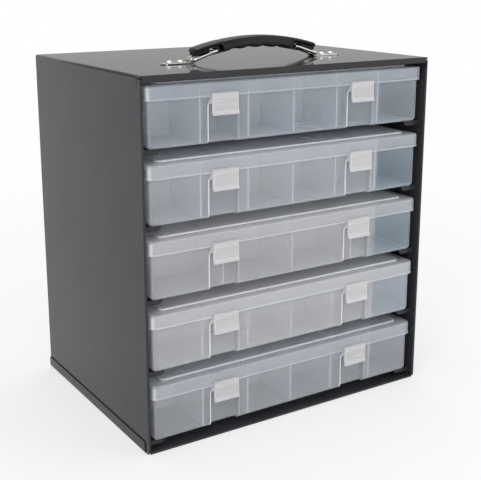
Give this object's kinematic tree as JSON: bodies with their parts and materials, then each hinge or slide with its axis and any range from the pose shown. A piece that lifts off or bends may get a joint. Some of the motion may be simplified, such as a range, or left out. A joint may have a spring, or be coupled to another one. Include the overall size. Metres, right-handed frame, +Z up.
{
  "type": "parts box rack",
  "caption": "Open-front sheet-steel carrying rack with a riveted lift handle, holding pull-out frosted plastic compartment boxes with hinged lids and snap latches.",
  "frame": {"origin": "middle of the rack's footprint, on the ground plane that the bottom pan rests on", "axes": "+Z up, the open front faces -Y, +X to the right seen from the front"},
  "size_m": [0.348, 0.2603, 0.3966],
  "materials": {
    "painted_steel": "gloss charcoal-grey baked enamel",
    "nickel_plate": "bright nickel plate",
    "grip_plastic": "black moulded plastic with a fine-grained middle",
    "hinge_steel": "plain steel wire",
    "frosted_base": "frosted translucent polypropylene",
    "frosted_lid": "frosted translucent polypropylene",
    "frosted_latch": "milky translucent polypropylene"
  },
  "bodies": {
    "rack": {"wrapper": "painted_steel", "bottom_pan": "painted_steel", "back_panel": "painted_steel", "runner_left_1": "painted_steel", "runner_left_2": "painted_steel", "runner_left_3": "painted_steel", "runner_left_4": "painted_steel", "runner_left_5": "painted_steel", "runner_right_1": "painted_steel", "runner_right_2": "painted_steel", "runner_right_3": "painted_steel", "runner_right_4": "painted_steel", "runner_right_5": "painted_steel", "strap_left": "nickel_plate", "strap_right": "nickel_plate", "handle_rivets": "nickel_plate"},
    "grip": {"handle_grip": "grip_plastic"},
    "bail_left": {"bail_left": "nickel_plate"},
    "bail_right": {"bail_right": "nickel_plate"},
    "box_1": {"box_1_base": "frosted_base", "box_1_long_dividers": "frosted_base", "box_1_cross_dividers": "frosted_base", "box_1_hinge_pins": "hinge_steel"},
    "box_1_lid": {"box_1_lid": "frosted_lid"},
    "box_1_latch_left": {"box_1_latch_left": "frosted_latch"},
    "box_1_latch_right": {"box_1_latch_right": "frosted_latch"},
    "box_2": {"box_2_base": "frosted_base", "box_2_long_dividers": "frosted_base", "box_2_cross_dividers": "frosted_base", "box_2_hinge_pins": "hinge_steel"},
    "box_2_lid": {"box_2_lid": "frosted_lid"},
    "box_2_latch_left": {"box_2_latch_left": "frosted_latch"},
    "box_2_latch_right": {"box_2_latch_right": "frosted_latch"},
    "box_3": {"box_3_base": "frosted_base", "box_3_long_dividers": "frosted_base", "box_3_cross_dividers": "frosted_base", "box_3_hinge_pins": "hinge_steel"},
    "box_3_lid": {"box_3_lid": "frosted_lid"},
    "box_3_latch_left": {"box_3_latch_left": "frosted_latch"},
    "box_3_latch_right": {"box_3_latch_right": "frosted_latch"},
    "box_4": {"box_4_base": "frosted_base", "box_4_long_dividers": "frosted_base", "box_4_cross_dividers": "frosted_base", "box_4_hinge_pins": "hinge_steel"},
    "box_4_lid": {"box_4_lid": "frosted_lid"},
    "box_4_latch_left": {"box_4_latch_left": "frosted_latch"},
    "box_4_latch_right": {"box_4_latch_right": "frosted_latch"},
    "box_5": {"box_5_base": "frosted_base", "box_5_long_dividers": "frosted_base", "box_5_cross_dividers": "frosted_base", "box_5_hinge_pins": "hinge_steel"},
    "box_5_lid": {"box_5_lid": "frosted_lid"},
    "box_5_latch_left": {"box_5_latch_left": "frosted_latch"},
    "box_5_latch_right": {"box_5_latch_right": "frosted_latch"}
  },
  "joints": [
    {"name": "grip_lift", "type": "slide", "parent": "rack", "child": "grip", "axis": [0, 0, 1], "range_m": [0, 0.01]},
    {"name": "bail_left_swing", "type": "hinge", "parent": "rack", "child": "bail_left", "pos_m": [-0.076, -0.05, 0.37436], "axis": [0, -1, 0], "range_deg": [0, 23.8]},
    {"name": "bail_right_swing", "type": "hinge", "parent": "rack", "child": "bail_right", "pos_m": [0.076, -0.05, 0.37436], "axis": [0, 1, 0], "range_deg": [0, 23.8]},
    {"name": "box_1_slide", "type": "slide", "parent": "rack", "child": "box_1", "axis": [0, -1, 0], "range_m": [0, 0.26]},
    {"name": "box_1_lid_hinge", "type": "hinge", "parent": "box_1", "child": "box_1_lid", "pos_m": [0, 0.1218, 0.3484], "axis": [-1, 0, 0], "range_deg": [0, 0.2]},
    {"name": "box_1_latch_left_hinge", "type": "hinge", "parent": "box_1_lid", "child": "box_1_latch_left", "pos_m": [-0.0834, -0.12675, 0.3484], "axis": [-1, 0, 0], "range_deg": [0, 110]},
    {"name": "box_1_latch_right_hinge", "type": "hinge", "parent": "box_1_lid", "child": "box_1_latch_right", "pos_m": [0.0834, -0.12675, 0.3484], "axis": [-1, 0, 0], "range_deg": [0, 110]},
    {"name": "box_2_slide", "type": "slide", "parent": "rack", "child": "box_2", "axis": [0, -1, 0], "range_m": [0, 0.26]},
    {"name": "box_2_lid_hinge", "type": "hinge", "parent": "box_2", "child": "box_2_lid", "pos_m": [0, 0.1218, 0.2754], "axis": [-1, 0, 0], "range_deg": [0, 0.2]},
    {"name": "box_2_latch_left_hinge", "type": "hinge", "parent": "box_2_lid", "child": "box_2_latch_left", "pos_m": [-0.0834, -0.12675, 0.2754], "axis": [-1, 0, 0], "range_deg": [0, 110]},
    {"name": "box_2_latch_right_hinge", "type": "hinge", "parent": "box_2_lid", "child": "box_2_latch_right", "pos_m": [0.0834, -0.12675, 0.2754], "axis": [-1, 0, 0], "range_deg": [0, 110]},
    {"name": "box_3_slide", "type": "slide", "parent": "rack", "child": "box_3", "axis": [0, -1, 0], "range_m": [0, 0.26]},
    {"name": "box_3_lid_hinge", "type": "hinge", "parent": "box_3", "child": "box_3_lid", "pos_m": [0, 0.1218, 0.2024], "axis": [-1, 0, 0], "range_deg": [0, 0.2]},
    {"name": "box_3_latch_left_hinge", "type": "hinge", "parent": "box_3_lid", "child": "box_3_latch_left", "pos_m": [-0.0834, -0.12675, 0.2024], "axis": [-1, 0, 0], "range_deg": [0, 110]},
    {"name": "box_3_latch_right_hinge", "type": "hinge", "parent": "box_3_lid", "child": "box_3_latch_right", "pos_m": [0.0834, -0.12675, 0.2024], "axis": [-1, 0, 0], "range_deg": [0, 110]},
    {"name": "box_4_slide", "type": "slide", "parent": "rack", "child": "box_4", "axis": [0, -1, 0], "range_m": [0, 0.26]},
    {"name": "box_4_lid_hinge", "type": "hinge", "parent": "box_4", "child": "box_4_lid", "pos_m": [0, 0.1218, 0.1294], "axis": [-1, 0, 0], "range_deg": [0, 0.2]},
    {"name": "box_4_latch_left_hinge", "type": "hinge", "parent": "box_4_lid", "child": "box_4_latch_left", "pos_m": [-0.0834, -0.12675, 0.1294], "axis": [-1, 0, 0], "range_deg": [0, 110]},
    {"name": "box_4_latch_right_hinge", "type": "hinge", "parent": "box_4_lid", "child": "box_4_latch_right", "pos_m": [0.0834, -0.12675, 0.1294], "axis": [-1, 0, 0], "range_deg": [0, 110]},
    {"name": "box_5_slide", "type": "slide", "parent": "rack", "child": "box_5", "axis": [0, -1, 0], "range_m": [0, 0.26]},
    {"name": "box_5_lid_hinge", "type": "hinge", "parent": "box_5", "child": "box_5_lid", "pos_m": [0, 0.1218, 0.0564], "axis": [-1, 0, 0], "range_deg": [0, 0.2]},
    {"name": "box_5_latch_left_hinge", "type": "hinge", "parent": "box_5_lid", "child": "box_5_latch_left", "pos_m": [-0.0834, -0.12675, 0.0564], "axis": [-1, 0, 0], "range_deg": [0, 110]},
    {"name": "box_5_latch_right_hinge", "type": "hinge", "parent": "box_5_lid", "child": "box_5_latch_right", "pos_m": [0.0834, -0.12675, 0.0564], "axis": [-1, 0, 0], "range_deg": [0, 110]}
  ],
  "couplings": [
    {"joint": "bail_left_swing", "follows": "grip_lift", "rad_per_m": 41.487},
    {"joint": "bail_right_swing", "follows": "grip_lift", "rad_per_m": 41.487}
  ]
}
